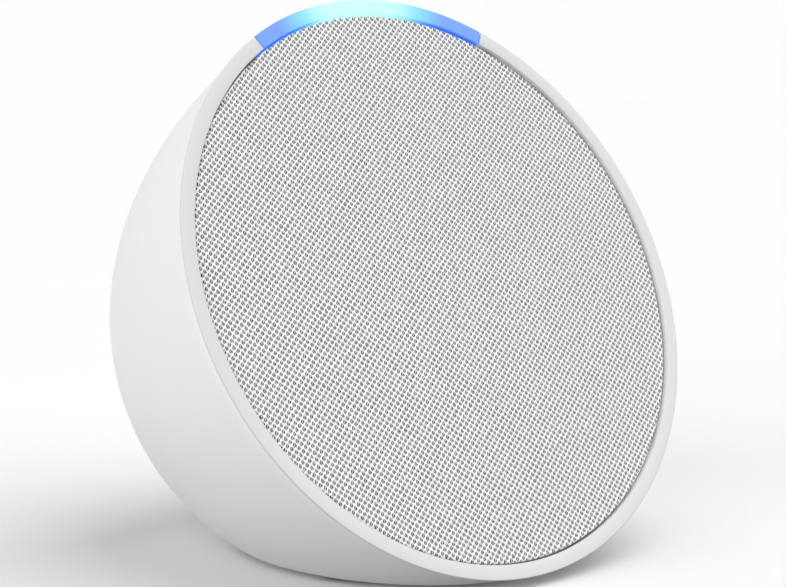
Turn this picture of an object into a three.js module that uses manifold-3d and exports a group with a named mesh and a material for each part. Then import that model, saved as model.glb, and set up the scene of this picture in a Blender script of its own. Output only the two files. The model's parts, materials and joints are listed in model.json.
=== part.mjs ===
// A small smart speaker: a domed housing on a flat foot, a round fabric face that leans back in a
// thin rim, a lit bar let into the top of the rim, three buttons on the dome and a power inlet low
// at the back. Millimetres, +Z up, front towards -Y. The origin is on the table, under the middle
// of the speaker.
//
// The face has its own frame: x across, y up the face, z out of it. Everything that shares the
// face's axis is drawn there as outlines of [radius, depth], where depth is measured back from the
// front of the rim.

import * as THREE from 'three';
import { mergeVertices } from 'three/addons/utils/BufferGeometryUtils.js';
import Module from 'manifold-3d';

const wasm = await Module();
wasm.setup();

// ---- Driving dimensions ----

const RIM_RADIUS = 49.5;
const RIM_WIDTH = 2.45;
const RIM_THICKNESS = 1;
const RIM_ROUNDING = 0.15;
const RIM_EDGE = 0.35; // thickness of the rim's edge, before its undercut
const RIM_UNDERCUT = 0.55;
const RIM_LIFT = 1.9; // lowest edge of the rim above the table
const LEAN = THREE.MathUtils.degToRad(25.86); // the face leans back from upright

const RIM_OVERHANG = 0.73; // rim stands out past the dome
const DOME_DEPTH = 61.65;
const DOME_SQUARENESS = 2.58; // power across the face, 2 would be an ellipse
const WALL = 2.2;
const PARTING = 0.4; // groove between rim and dome
const LAP = 4.1; // how far the bezel plugs into the dome
const LIP = 0.75; // dome wall where the bezel plugs in

const HOUSING_LIFT = 0.76; // flat base above the table
const FLOOR = 1.8;
const FOOT_INSET = 2.6;
const FOOT_RECESS = 0.8;

const LIGHT_HALF_ANGLE = 29; // degrees either side of twelve o'clock
const LED_ANGLES = [-21, -7, 7, 21];

const FABRIC = 0.4;
const FABRIC_SINK = 0.5;
const GRILLE = 1.4;
const GRILLE_HOLE = 4.9;
const GRILLE_PITCH = 11.4;
const LEDGE = 1.2;
const LEDGE_WIDTH = 4.55;

const BAFFLE = 2;
const BAFFLE_SETBACK = 4.2; // from the ledge to the baffle
const POST_RADIUS = 3;
const LEG_RADIUS = 2.6;
const BOARD_FLAT = 24; // from the face's axis down to the board's flat edge
const BOARD_CLEARANCE = 0.9; // from the main board to the inlet's board
const PCB = 1.6;

const DRIVER_RADIUS = 24.75;
const CONE_RADIUS = 17.6;
const COIL_RADIUS = 6;
const BASKET_DEPTH = 5.9; // baffle front to spider shelf
const MOTOR_DEPTH = 9.2; // baffle front to top plate
const TOP_PLATE = 2;
const MAGNET_RADIUS = 16;
const MAGNET = 7;
const YOKE = 2.5;

const BUTTON_RADIUS = 4.4;
const BUTTON_FLANGE = 0.8;
const BUTTON_PROUD = 0.3;
const SWITCH_SIZE = 5;
const SWITCH_HEIGHT = 2.2;
const SWITCH_DROP = 2.34; // inside of the wall down to the outer switches
const BOARD_RISE = 1.34; // top of the switches above the wall at the board's ends
const MIC_HOLE = 0.6;
const MIC_SEAL = 1; // wall of a microphone's gasket

const JACK_HEIGHT = 15;
const JACK_BORE = 2.9;
const JACK_NOSE = 4;
const JACK_BODY = [9, 12.4, 11];

const GAP = 0.3; // between pieces that meet
const SCREW = 1; // shank radius
const SCREW_HOLE = SCREW + GAP;
const SCREW_HEAD = 2;
const FINE = 48; // sides of the large round pieces
const COARSE = 24; // sides of the driver's round pieces
const SMALL = 10; // sides of posts, screws and their holes
const FAR = 200;

// ---- Depths and places that follow from them ----

const RECESS_RADIUS = RIM_RADIUS - RIM_WIDTH;
const POST_RING = RIM_RADIUS - 9.5;
const DOME_RADIUS = RIM_RADIUS - RIM_OVERHANG;
const DOME_FRONT = RIM_THICKNESS + PARTING;
const DOME_STEP = DOME_FRONT + LAP;
const LIP_BORE = DOME_RADIUS - LIP;
const SPIGOT_RADIUS = LIP_BORE - GAP;
const SPIGOT_INNER = SPIGOT_RADIUS - 1.3;
const SPIGOT_END = DOME_STEP - GAP;
const FABRIC_BACK = FABRIC_SINK + FABRIC;
const GRILLE_FRONT = FABRIC_BACK + GAP;
const GRILLE_BACK = GRILLE_FRONT + GRILLE;
const GRILLE_RADIUS = RECESS_RADIUS - FABRIC - 2 * GAP;
const LEDGE_FRONT = GRILLE_BACK + GAP;
const LEDGE_BACK = LEDGE_FRONT + LEDGE;
const LEDGE_INNER = RECESS_RADIUS - LEDGE_WIDTH;
const LIGHT_FOOT_BACK = LEDGE_BACK + GAP;
const LED_RADIUS = LEDGE_INNER + 2.7;
const LIGHT_FOOT_INNER = LED_RADIUS - 0.6;
const LED_FRONT = LIGHT_FOOT_BACK + GAP;
const LED_BACK = LED_FRONT + 0.7;
const LIGHT_BOARD_FRONT = LED_BACK + GAP;
const LIGHT_BOARD_BACK = LIGHT_BOARD_FRONT + 0.8;
const BAFFLE_FRONT = LEDGE_BACK + BAFFLE_SETBACK;
const BAFFLE_BACK = BAFFLE_FRONT + BAFFLE;
const FLOOR_TOP = HOUSING_LIFT + FLOOR;
const BUTTON_DEPTH = BAFFLE_BACK + BUTTON_RADIUS + BUTTON_FLANGE + 1.5;
const DRIVER_SCREW_RING = DRIVER_RADIUS + 1.45;
const CROWN = domeRadius(BUTTON_DEPTH);
const LEG_RING = (DRIVER_RADIUS + CROWN) / 2 - 6;
const BOARD_RADIUS = LEG_RING + 3.5;
const BUTTON_SPACING = 2 * (BUTTON_RADIUS + BUTTON_FLANGE + MIC_HOLE + MIC_SEAL + 1.5 * GAP);
const CONTROL_END = BUTTON_SPACING + BUTTON_RADIUS + BUTTON_FLANGE + 4.8;
const CONTROL_BOARD = [2 * CONTROL_END, 8.4, 1.2];
const crownFall = (x) => CROWN - Math.sqrt(CROWN ** 2 - x ** 2);
const SWITCH_LEVEL = WALL + Math.max(
  crownFall(BUTTON_SPACING + SWITCH_SIZE / 2) + SWITCH_DROP, crownFall(CONTROL_END) - BOARD_RISE);

const POST_ANGLES = [60, 180, 300].map(fromTwelve);
const LEG_ANGLES = [0, 120, 240].map(fromTwelve);
const EAR_ANGLES = [45, 135, 225, 315].map(fromTwelve);

// Radius of the dome at a depth, or of the same dome with its skin moved in by an inset.
function domeRadius(depth, inset = 0) {
  const share = Math.min(1, depth / (DOME_DEPTH - inset));
  return (DOME_RADIUS - inset) * (1 - share ** 2) ** (1 / DOME_SQUARENESS);
}

// Outline of that dome from a depth back to its crown, even in angle so that it stays smooth.
function domeOutline(front, inset = 0, steps = 9) {
  const first = Math.asin(front / (DOME_DEPTH - inset));
  const outline = [];
  for (let i = 0; i <= steps; i += 1) {
    const angle = THREE.MathUtils.lerp(first, Math.PI / 2, i / steps);
    const depth = (DOME_DEPTH - inset) * Math.sin(angle);
    outline.push([i === steps ? 0 : domeRadius(depth, inset), depth]);
  }
  return outline;
}

const FACE_HEIGHT = RIM_LIFT + RIM_RADIUS * Math.cos(LEAN);
const DOME_REACH = Math.max(...domeOutline(DOME_FRONT).map(
  ([radius, depth]) => radius * Math.sin(LEAN) + depth * Math.cos(LEAN)));
const FACE_Y = (RIM_RADIUS * Math.sin(LEAN) - DOME_REACH) / 2;

const speaker = new THREE.Group();
const face = new THREE.Group();
face.position.set(0, FACE_Y, FACE_HEIGHT);
face.rotation.x = Math.PI / 2 - LEAN;
speaker.add(face);

// The driver's frame sits on the baffle's front, with the face's directions.
const driver = new THREE.Group();
driver.position.z = -BAFFLE_FRONT;
face.add(driver);

// The controls' frame sits on the dome's crown line at the middle button: x across, y back, z out.
const controls = new THREE.Group();
const CROWN_SLOPE = Math.atan(domeRadius(BUTTON_DEPTH - 0.5) - domeRadius(BUTTON_DEPTH + 0.5));
controls.position.set(0, CROWN, -BUTTON_DEPTH);
controls.rotation.x = -(Math.PI / 2 + CROWN_SLOPE);
face.add(controls);
speaker.updateMatrixWorld(true);

// ---- Materials ----

const finish = (color, roughness, metalness = 0) => (
  new THREE.MeshStandardMaterial({ color, roughness, metalness }));
const SHELL_WHITE = finish(0xf0f0ee, 0.55);
const RIM_WHITE = finish(0xe9eae9, 0.5);
const LIGHT_BLUE = new THREE.MeshStandardMaterial({
  color: 0xbfe8ff, roughness: 0.4, emissive: 0x3d8bff, emissiveIntensity: 1.5 });
const FABRIC_WHITE = finish(0xdcdddc, 0.95);
const INNER_BLACK = finish(0x1c1d1f, 0.6);
const RUBBER_GREY = finish(0x55585a, 0.9);
const CONE_BLACK = finish(0x232426, 0.85);
const FOAM_BLACK = finish(0x141414, 1);
const COPPER = finish(0xb86b3a, 0.4, 0.9);
const SPIDER_TAN = finish(0xc79a52, 0.9);
const STEEL = finish(0xb9bcc0, 0.35, 1);
const FERRITE = finish(0x3a3a3c, 0.8);
const PCB_GREEN = finish(0x1d5a3a, 0.5);
const CHIP_BLACK = finish(0x18181a, 0.5);
const LED_WHITE = finish(0xf7f3d8, 0.4);
const CABLE_RED = finish(0xb3231f, 0.5);
const CABLE_BLACK = finish(0x151515, 0.5);
const RIBBON_TAN = finish(0xc98a3a, 0.5);

// ---- Making solids ----

function solidOf(geometry) {
  const bare = geometry.clone();
  bare.deleteAttribute('normal');
  bare.deleteAttribute('uv');
  const merged = mergeVertices(bare);
  const index = merged.index.array;
  const triVerts = [];
  for (let i = 0; i < index.length; i += 3) {
    const [a, b, c] = index.slice(i, i + 3);
    if (a !== b && b !== c && c !== a) triVerts.push(a, b, c);
  }
  return new wasm.Manifold(new wasm.Mesh({
    numProp: 3,
    vertProperties: merged.attributes.position.array,
    triVerts: new Uint32Array(triVerts),
  }));
}

function geometryOf(solid) {
  const { vertProperties, triVerts } = solid.getMesh();
  const geometry = new THREE.BufferGeometry();
  geometry.setAttribute('position', new THREE.BufferAttribute(vertProperties, 3));
  geometry.setIndex(new THREE.BufferAttribute(triVerts, 1));
  return geometry;
}

const fold = (method) => (first, ...others) => geometryOf(
  others.reduce((solid, other) => solid[method](solidOf(other)), solidOf(first)));
const join = fold('add');
const cut = fold('subtract');
const common = fold('intersect');

// A closed outline of [radius, depth] pairs turned about the face's axis.
function revolve(outline, sides = FINE) {
  const points = outline.map(([radius, depth]) => new THREE.Vector2(radius, -depth));
  if (THREE.ShapeUtils.area(points) < 0) points.reverse();
  if (points[0].x > 0) points.push(points[0].clone());
  return new THREE.LatheGeometry(points, sides).rotateX(Math.PI / 2);
}

function ring(inner, outer, front, back, sides = COARSE) {
  return revolve([[inner, front], [outer, front], [outer, back], [inner, back]], sides);
}

function rod(x, y, radius, front, back, sides = SMALL) {
  const shaft = new THREE.CylinderGeometry(radius, radius, back - front, sides);
  return shaft.rotateX(Math.PI / 2).translate(x, y, -(front + back) / 2);
}

function block([x0, x1], [y0, y1], [z0, z1]) {
  const box = new THREE.BoxGeometry(x1 - x0, y1 - y0, z1 - z0);
  return box.translate((x0 + x1) / 2, (y0 + y1) / 2, (z0 + z1) / 2);
}

function plate(shape, front, back) {
  const depth = back - front;
  const sheet = new THREE.ExtrudeGeometry(shape, { depth, bevelEnabled: false, curveSegments: 24 });
  return sheet.translate(0, 0, -back);
}

const depths = (front, back) => [-back, -front];

// Corners of an even-sided outline about a point.
function corners(x, y, radius, sides, turn = 0) {
  return Array.from({ length: sides }, (_, i) => {
    const angle = turn + i * 2 * Math.PI / sides;
    return new THREE.Vector2(x + radius * Math.cos(angle), y + radius * Math.sin(angle));
  });
}

function pin(x, z, radius, y0, y1, sides = 16) {
  const shaft = new THREE.CylinderGeometry(radius, radius, y1 - y0, sides);
  return shaft.translate(x, (y0 + y1) / 2, z);
}

function fromTwelve(degrees) {
  return THREE.MathUtils.degToRad(90 - degrees);
}

const onRing = (radius, angle) => [radius * Math.cos(angle), radius * Math.sin(angle)];

// The slice of the face within an angle of twelve o'clock.
function topSlice(halfAngle, inner, front, back) {
  const shape = new THREE.Shape();
  shape.absarc(0, 0, inner, fromTwelve(halfAngle), fromTwelve(-halfAngle), false);
  shape.absarc(0, 0, FAR, fromTwelve(-halfAngle), fromTwelve(halfAngle), true);
  shape.closePath();
  return plate(shape, front, back);
}

const toFace = face.matrixWorld.clone().invert();
const faceToControls = controls.matrix.clone().invert();
const inFace = (standing) => standing.applyMatrix4(toFace);
const inControls = (geometry) => geometry.applyMatrix4(faceToControls);
const outOfControls = (geometry) => geometry.applyMatrix4(controls.matrix);
const belowLevel = (height) => inFace(block([-FAR, FAR], [-FAR, FAR], [-FAR, height]));
const aboveFloor = (geometry) => cut(geometry, belowLevel(FLOOR_TOP + GAP));

function dome(inset = 0, front = DOME_FRONT) {
  return revolve([[0, front], ...domeOutline(front, inset)]);
}

function add(group, name, geometry, material) {
  const mesh = new THREE.Mesh(geometry, material);
  mesh.name = name;
  group.add(mesh);
  return mesh;
}

// A screw whose head bears at a depth. Its shank runs back from there, or forward if it is turned.
function addScrew(group, name, [x, y], seat, length, turned = false, radius = SCREW) {
  const head = SCREW_HEAD * radius / SCREW;
  const shank = [[0, length], [radius, length], [radius, 0]];
  const cap = [[head, 0], [head, -0.7], [head * 0.7, -1.1], [0, -1.1]];
  const mesh = add(group, name, revolve([...shank, ...cap], 8), STEEL);
  mesh.position.set(x, y, -seat);
  mesh.rotation.x = turned ? Math.PI : 0;
}

// ---- Foot and base ----

// Half outline of the dome where a level plane cuts it, as points [x, y] from front to back.
function levelOutline(height, steps = 14) {
  const halfWidth = (y) => {
    const up = (y - FACE_Y) * Math.sin(LEAN) + (height - FACE_HEIGHT) * Math.cos(LEAN);
    const depth = (y - FACE_Y) * Math.cos(LEAN) - (height - FACE_HEIGHT) * Math.sin(LEAN);
    return Math.sqrt(Math.max(0, domeRadius(Math.max(0, depth)) ** 2 - up ** 2));
  };
  const edge = (reach) => {
    let inside = FACE_Y;
    let outside = FACE_Y + reach;
    for (let i = 0; i < 40; i += 1) {
      const middle = (inside + outside) / 2;
      if (halfWidth(middle) > 0) inside = middle;
      else outside = middle;
    }
    return inside;
  };
  const [front, back] = [edge(-FACE_HEIGHT * Math.tan(LEAN)), edge(2 * DOME_DEPTH)];
  const outline = [];
  for (let i = 0; i <= steps; i += 1) {
    const y = THREE.MathUtils.lerp(front, back, (1 - Math.cos(Math.PI * i / steps)) / 2);
    outline.push(new THREE.Vector2(i % steps ? halfWidth(y) : 0, y));
  }
  return outline;
}

// A level plate of the base's outline, moved in by an inset.
function basePlate(inset, bottom, top) {
  const half = levelOutline(HOUSING_LIFT);
  const moved = half.map((point, i) => {
    const before = half[Math.max(0, i - 1)];
    const after = half[Math.min(half.length - 1, i + 1)];
    const along = after.clone().sub(before).normalize();
    const end = i === 0 || i === half.length - 1;
    const out = end ? new THREE.Vector2(0, i ? 1 : -1) : new THREE.Vector2(along.y, -along.x);
    return point.clone().addScaledVector(out, -inset);
  });
  const mirrored = moved.slice(1, -1).reverse().map(({ x, y }) => new THREE.Vector2(-x, y));
  const shape = new THREE.Shape([...moved, ...mirrored]);
  const depth = top - bottom;
  return new THREE.ExtrudeGeometry(shape, { depth, bevelEnabled: false }).translate(0, 0, bottom);
}

function footPad() {
  return basePlate(FOOT_INSET, 0, HOUSING_LIFT + FOOT_RECESS - GAP);
}

// ---- Power inlet: a barrel jack in a round tunnel through the back of the dome ----

// How far back the dome reaches at a height, on its middle line.
function domeBackAt(height) {
  const outline = levelOutline(height);
  return outline[outline.length - 1].y;
}

const JACK_FRONT = domeBackAt(JACK_HEIGHT - JACK_NOSE - GAP) - GAP;
const TUNNEL_DEPTH = 5;
const TUNNEL_WALL = 1.3;
const JACK_SEAT = JACK_FRONT - TUNNEL_DEPTH;
const JACK_REAR = JACK_SEAT - GAP - JACK_BODY[1];
const JACK_BASE = JACK_HEIGHT - JACK_BODY[2] / 2;
const JACK_PIN = 1;
const JACK_PIN_SETBACK = 2.6;
const JACK_BOARD = [7, JACK_REAR - GAP - PCB, JACK_BASE + 12]; // half width, front, top

// The main board stands clear of the top front edge of the inlet's board.
const BOARD_BACK = (JACK_BOARD[1] - FACE_Y) * Math.cos(LEAN)
  - (JACK_BOARD[2] - FACE_HEIGHT) * Math.sin(LEAN) - BOARD_CLEARANCE;
const BOARD_DEPTH = BOARD_BACK - PCB;
const LEG_END = BOARD_DEPTH - GAP;

function jackShell() {
  const half = JACK_BODY[0] / 2;
  const levels = [JACK_BASE, JACK_BASE + JACK_BODY[2]];
  const body = block([-half, half], [JACK_REAR, JACK_SEAT - GAP], levels);
  const nose = pin(0, JACK_HEIGHT, JACK_NOSE, JACK_SEAT - 2, JACK_FRONT);
  const bore = pin(0, JACK_HEIGHT, JACK_BORE, JACK_REAR + 4, FAR);
  const pinHole = pin(0, JACK_HEIGHT, JACK_PIN + GAP, -FAR, FAR);
  return cut(join(body, nose), bore, pinHole);
}

const jackPin = () => pin(
  0, JACK_HEIGHT, JACK_PIN, JACK_REAR + 2, JACK_FRONT - JACK_PIN_SETBACK);

function jackBoard() {
  const [half, front, top] = JACK_BOARD;
  return block([-half, half], [front, front + PCB], [JACK_BASE, top]);
}

// ---- Controls: three buttons and their switches, two microphones, one board ----

const BUTTON_NAMES = ['volume_down', 'volume_up', 'microphone_off'];
const BUTTON_PLACES = [-BUTTON_SPACING, 0, BUTTON_SPACING];
const MIC_NAMES = ['microphone_left', 'microphone_right'];
const MIC_PLACES = [-BUTTON_SPACING / 2, BUTTON_SPACING / 2];
const MIC_HEIGHT = 1;
const BUTTON_TRAVEL = 0.5;
const PLUNGER = 1.5;
const PLUNGER_TOP = SWITCH_LEVEL - 0.7;
const PLUNGER_END = SWITCH_LEVEL + 1;
const CONTROL_TOP = SWITCH_LEVEL + SWITCH_HEIGHT + GAP;
const CONTROL_BOTTOM = CONTROL_TOP + CONTROL_BOARD[2];
const CONTROL_SCREW = 0.7;
const CONTROL_SCREW_END = CONTROL_TOP - 2.6;
const CONTROL_SCREW_PLACES = [-1, 1].map((side) => side * (CONTROL_BOARD[0] / 2 - 2.5));

// A cap that follows the dome, a flange that keeps it in, and a stem down to its switch.
function button(x) {
  const skin = WALL + GAP;
  const flangeRadius = BUTTON_RADIUS + BUTTON_FLANGE;
  const column = (radius) => rod(x, 0, radius, -CROWN / 4, CROWN / 2, 20);
  const cap = common(column(BUTTON_RADIUS), inControls(dome(-BUTTON_PROUD)));
  const flange = common(column(flangeRadius), inControls(dome(skin)));
  const shaped = cut(join(cap, flange), inControls(dome(skin + 1)));
  const stem = rod(x, 0, PLUNGER, 0, PLUNGER_TOP - GAP);
  return join(shaped, common(stem, inControls(dome(skin))));
}

function switchBody(x) {
  const half = SWITCH_SIZE / 2;
  const levels = depths(SWITCH_LEVEL, SWITCH_LEVEL + SWITCH_HEIGHT);
  const well = rod(x, 0, PLUNGER + GAP, 0, PLUNGER_END + BUTTON_TRAVEL + GAP);
  return cut(block([x - half, x + half], [-half, half], levels), well);
}

function micGasket(x) {
  const tube = rod(x, 0, MIC_HOLE + MIC_SEAL, 0, CONTROL_TOP - 2 * GAP - MIC_HEIGHT);
  return cut(common(tube, inControls(dome(WALL + GAP))), rod(x, 0, MIC_HOLE, -FAR, FAR, 8));
}

function controlBoard() {
  const [width, length] = CONTROL_BOARD.map((size) => size / 2);
  const board = block([-width, width], [-length, length], depths(CONTROL_TOP, CONTROL_BOTTOM));
  return cut(board, ...CONTROL_SCREW_PLACES.map((x) => rod(x, 0, CONTROL_SCREW + GAP, 0, FAR)));
}

// ---- Rear housing ----

function rearHousing() {
  const outside = cut(dome(), belowLevel(HOUSING_LIFT));
  const bore = [[0, 0], [LIP_BORE, 0], [LIP_BORE, DOME_STEP]];
  const hollow = cut(revolve([...bore, ...domeOutline(DOME_STEP, WALL)]), belowLevel(FLOOR_TOP));
  const posts = POST_ANGLES.map((angle) => (
    rod(...onRing(POST_RING, angle), POST_RADIUS, BAFFLE_BACK + GAP, DOME_DEPTH)));
  const tunnel = inFace(
    pin(0, JACK_HEIGHT, JACK_NOSE + GAP + TUNNEL_WALL, JACK_SEAT, JACK_SEAT + 3 * TUNNEL_DEPTH));
  const rest = inFace(block([-5, 5], [JACK_REAR + 2, JACK_SEAT - 2], [0, JACK_BASE - GAP]));
  const bosses = CONTROL_SCREW_PLACES.map((x) => (
    outOfControls(rod(x, 0, CONTROL_SCREW + 1.1, 0, CONTROL_TOP - GAP))));
  const skin = cut(dome(WALL / 2), belowLevel(FLOOR_TOP - FLOOR / 4));
  const shell = join(cut(outside, hollow), common(join(...posts, tunnel, rest, ...bosses), skin));
  return cut(shell, ...housingHoles());
}

function housingHoles() {
  const foot = inFace(basePlate(FOOT_INSET - GAP, -1, HOUSING_LIFT + FOOT_RECESS));
  const postHoles = POST_ANGLES.map((angle) => (
    rod(...onRing(POST_RING, angle), SCREW_HOLE, 0, BAFFLE_BACK + 6)));
  const inlet = inFace(pin(0, JACK_HEIGHT, JACK_NOSE + GAP, JACK_REAR, FAR));
  const buttons = BUTTON_PLACES.map((x) => (
    rod(x, 0, BUTTON_RADIUS + GAP, -CROWN / 4, SWITCH_LEVEL + 2, 20)));
  const mics = MIC_PLACES.map((x) => rod(x, 0, MIC_HOLE, -CROWN / 4, SWITCH_LEVEL, 8));
  const screws = CONTROL_SCREW_PLACES.map((x) => (
    rod(x, 0, CONTROL_SCREW + GAP, CONTROL_SCREW_END - GAP, CONTROL_TOP)));
  return [foot, ...postHoles, inlet, ...[...buttons, ...mics, ...screws].map(outOfControls)];
}

// ---- Front: bezel, light bar, fabric, grille ----

// The rim's section, from the inner edge of its face round to its back.
function rimOutline() {
  const outline = [[RECESS_RADIUS, 0]];
  for (let i = 0; i <= 3; i += 1) {
    const angle = i * Math.PI / 6;
    const radius = RIM_RADIUS - RIM_ROUNDING * (1 - Math.sin(angle));
    outline.push([radius, RIM_ROUNDING * (1 - Math.cos(angle))]);
  }
  const undercut = [RIM_RADIUS - RIM_UNDERCUT, RIM_THICKNESS];
  return [...outline, [RIM_RADIUS, RIM_EDGE], undercut, [SPIGOT_RADIUS, RIM_THICKNESS]];
}

function frontBezel() {
  const body = revolve([
    ...rimOutline(), [SPIGOT_RADIUS, SPIGOT_END], [SPIGOT_INNER, SPIGOT_END],
    [SPIGOT_INNER, LEDGE_BACK], [LEDGE_INNER, LEDGE_BACK], [LEDGE_INNER, LEDGE_FRONT],
    [RECESS_RADIUS, LEDGE_FRONT]]);
  const halfAngle = LIGHT_HALF_ANGLE + THREE.MathUtils.radToDeg(GAP / RIM_RADIUS);
  const notch = topSlice(halfAngle, LIGHT_FOOT_INNER - GAP, -1, SPIGOT_END + 1);
  const behindRim = block([-FAR, FAR], [-FAR, FAR], [-FAR, -RIM_THICKNESS]);
  return cut(body, notch, common(belowLevel(FLOOR_TOP + GAP), behindRim));
}

function lightBar() {
  const footFront = LEDGE_FRONT + GAP;
  const body = revolve([
    ...rimOutline(), [SPIGOT_RADIUS, LIGHT_FOOT_BACK], [LIGHT_FOOT_INNER, LIGHT_FOOT_BACK],
    [LIGHT_FOOT_INNER, footFront], [RECESS_RADIUS, footFront]]);
  return common(body, topSlice(LIGHT_HALF_ANGLE, LIGHT_FOOT_INNER - 1, -1, LIGHT_FOOT_BACK + 1));
}

function lightBoard() {
  const outer = domeRadius(LIGHT_BOARD_BACK, WALL) - GAP;
  const whole = ring(LEDGE_INNER + 0.7, outer, LIGHT_BOARD_FRONT, LIGHT_BOARD_BACK, FINE);
  return common(whole, topSlice(LIGHT_HALF_ANGLE + 2, LEDGE_INNER, 0, BAFFLE_FRONT));
}

function fabricCover() {
  const outer = RECESS_RADIUS - GAP;
  return revolve([
    [0, FABRIC_SINK], [outer, FABRIC_SINK], [outer, GRILLE_BACK], [outer - FABRIC, GRILLE_BACK],
    [outer - FABRIC, FABRIC_BACK], [0, FABRIC_BACK]]);
}

// A disc pierced by six-sided holes in a honeycomb, solid where it bears on the ledge.
function grilleFrame() {
  const shape = new THREE.Shape(corners(0, 0, GRILLE_RADIUS, FINE));
  const reach = Math.ceil(GRILLE_RADIUS / GRILLE_PITCH) + 1;
  for (let row = -reach; row <= reach; row += 1) {
    for (let column = -reach * 2; column <= reach * 2; column += 1) {
      const x = GRILLE_PITCH * (column + (row % 2 ? 0.5 : 0));
      const y = GRILLE_PITCH * row * Math.sin(Math.PI / 3);
      const hole = new THREE.Path(corners(x, y, GRILLE_HOLE, 6, Math.PI / 6));
      if (Math.hypot(x, y) < LEDGE_INNER - GRILLE_HOLE - 1) shape.holes.push(hole);
    }
  }
  return plate(shape, GRILLE_FRONT, GRILLE_BACK);
}

// ---- Chassis ----

const BASKET_MOUTH = DRIVER_RADIUS - 2.55;
const EAR_RADIUS = 2.9;

// The plate that carries the driver in front and the main board on legs behind.
function driverBaffle() {
  const shape = new THREE.Shape(corners(0, 0, domeRadius(BAFFLE_BACK, WALL) - GAP, FINE));
  const boss = (radius, end) => (angle) => (
    [...onRing(radius, angle), LEG_RADIUS, BAFFLE_BACK - 0.5, end]);
  const ears = EAR_ANGLES.map(boss(DRIVER_SCREW_RING, BAFFLE_BACK + 4)).map((at) => rod(...at));
  const legs = LEG_ANGLES.map(boss(LEG_RING, LEG_END)).map((at) => rod(...at));
  const opening = rod(0, 0, BASKET_MOUTH + 2 * GAP, 0, FAR, COARSE);
  const earHoles = EAR_ANGLES.map((angle) => (
    rod(...onRing(DRIVER_SCREW_RING, angle), SCREW_HOLE, 0, BAFFLE_BACK + 3.5)));
  const postHoles = POST_ANGLES.map((angle) => rod(...onRing(POST_RING, angle), SCREW_HOLE, 0, FAR));
  const legHoles = LEG_ANGLES.map((angle) => (
    rod(...onRing(LEG_RING, angle), SCREW_HOLE, LEG_END - 6, FAR)));
  const body = join(plate(shape, BAFFLE_FRONT, BAFFLE_BACK), ...ears, ...legs);
  return aboveFloor(cut(body, opening, ...earHoles, ...postHoles, ...legHoles));
}

// ---- Driver, in its own frame: depth is measured back from the baffle's front ----

const FLANGE = 1;
const FLANGE_FRONT = -GAP - FLANGE;
const PAPER = 0.3;
const LIP_FRONT = FLANGE_FRONT - GAP - PAPER;
const LIP_OUTER = DRIVER_RADIUS - 0.95;
const ROLL_RADIUS = CONE_RADIUS + 1.9;
const ROLL = 2;
const NECK = COIL_RADIUS + 0.7;
const CONE_SLOPE = 0.59;
const FORMER = 0.35;
const WINDING = 0.45;
const SHELF = 0.8;
const WINDOW = 8; // half width of the openings in the basket's wall
const WINDOW_FRONT = 0.8;

function driverBasket() {
  const wall = BASKET_MOUTH - 0.8;
  const foot = MAGNET_RADIUS + 0.4;
  const seat = MOTOR_DEPTH - GAP;
  const body = revolve([
    [wall, FLANGE_FRONT], [DRIVER_RADIUS, FLANGE_FRONT], [DRIVER_RADIUS, -GAP],
    [BASKET_MOUTH, -GAP], [foot, BASKET_DEPTH], [foot, seat], [COIL_RADIUS + 3, seat],
    [COIL_RADIUS + 3, seat - SHELF], [foot - 0.8, seat - SHELF],
    [foot - 0.8, BASKET_DEPTH + SHELF], [foot - 2.8, BASKET_DEPTH + SHELF],
    [foot - 2.8, BASKET_DEPTH], [foot - 0.8, BASKET_DEPTH], [wall, -GAP]], COARSE);
  const places = EAR_ANGLES.map((angle) => onRing(DRIVER_SCREW_RING, angle));
  const ears = places.map((at) => rod(...at, EAR_RADIUS, FLANGE_FRONT, -GAP));
  const holes = places.map((at) => rod(...at, SCREW_HOLE, FLANGE_FRONT - 1, 1));
  const windows = depths(WINDOW_FRONT, BASKET_DEPTH - SHELF);
  const across = block([-FAR, FAR], [-WINDOW, WINDOW], windows);
  const upright = block([-WINDOW, WINDOW], [-FAR, FAR], windows);
  return cut(join(body, ...ears), ...holes, across, upright);
}

// Flat lips either side of a half roll that lets the cone travel.
function surround() {
  const arc = (radius, depth, from, to) => Array.from({ length: 6 }, (_, i) => {
    const angle = THREE.MathUtils.lerp(from, to, i / 5);
    return [ROLL_RADIUS + radius * Math.cos(angle), depth - radius * Math.sin(angle)];
  });
  const back = LIP_FRONT + PAPER;
  return revolve([
    [LIP_OUTER, back], [LIP_OUTER, LIP_FRONT], ...arc(ROLL, LIP_FRONT, 0, Math.PI),
    [CONE_RADIUS - 1.2, LIP_FRONT], [CONE_RADIUS - 1.2, back],
    ...arc(ROLL - PAPER, back, Math.PI, 0)], COARSE);
}

const driverGasket = () => ring(
  LIP_OUTER - 1.9, LIP_OUTER, LIP_FRONT - GAP - 0.6, LIP_FRONT - GAP);

function cone() {
  const shoulder = CONE_RADIUS - 1.4;
  const neckDepth = FLANGE_FRONT + (shoulder - NECK) * CONE_SLOPE;
  return revolve([
    [CONE_RADIUS, FLANGE_FRONT], [shoulder, FLANGE_FRONT], [NECK, neckDepth],
    [NECK, neckDepth + 0.4], [shoulder + 0.1, FLANGE_FRONT + 0.35],
    [CONE_RADIUS, FLANGE_FRONT + 0.35]], COARSE);
}

// Depth of the dust cap's front at its edge, clear of the cone it is glued into.
const CAP_RADIUS = COIL_RADIUS + 1.6;
const CAP_EDGE = FLANGE_FRONT + (CONE_RADIUS - 1.4 - CAP_RADIUS) * CONE_SLOPE - PAPER - 1.4 * GAP;
const CAP_RISE = 2.2;

function dustCap() {
  const front = [];
  for (let i = 0; i <= 4; i += 1) {
    front.push([CAP_RADIUS * i / 4, CAP_EDGE - CAP_RISE * (1 - (i / 4) ** 2)]);
  }
  const back = front.map(([radius, depth]) => [radius, depth + PAPER]).reverse();
  return revolve([...front, ...back], COARSE);
}

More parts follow.
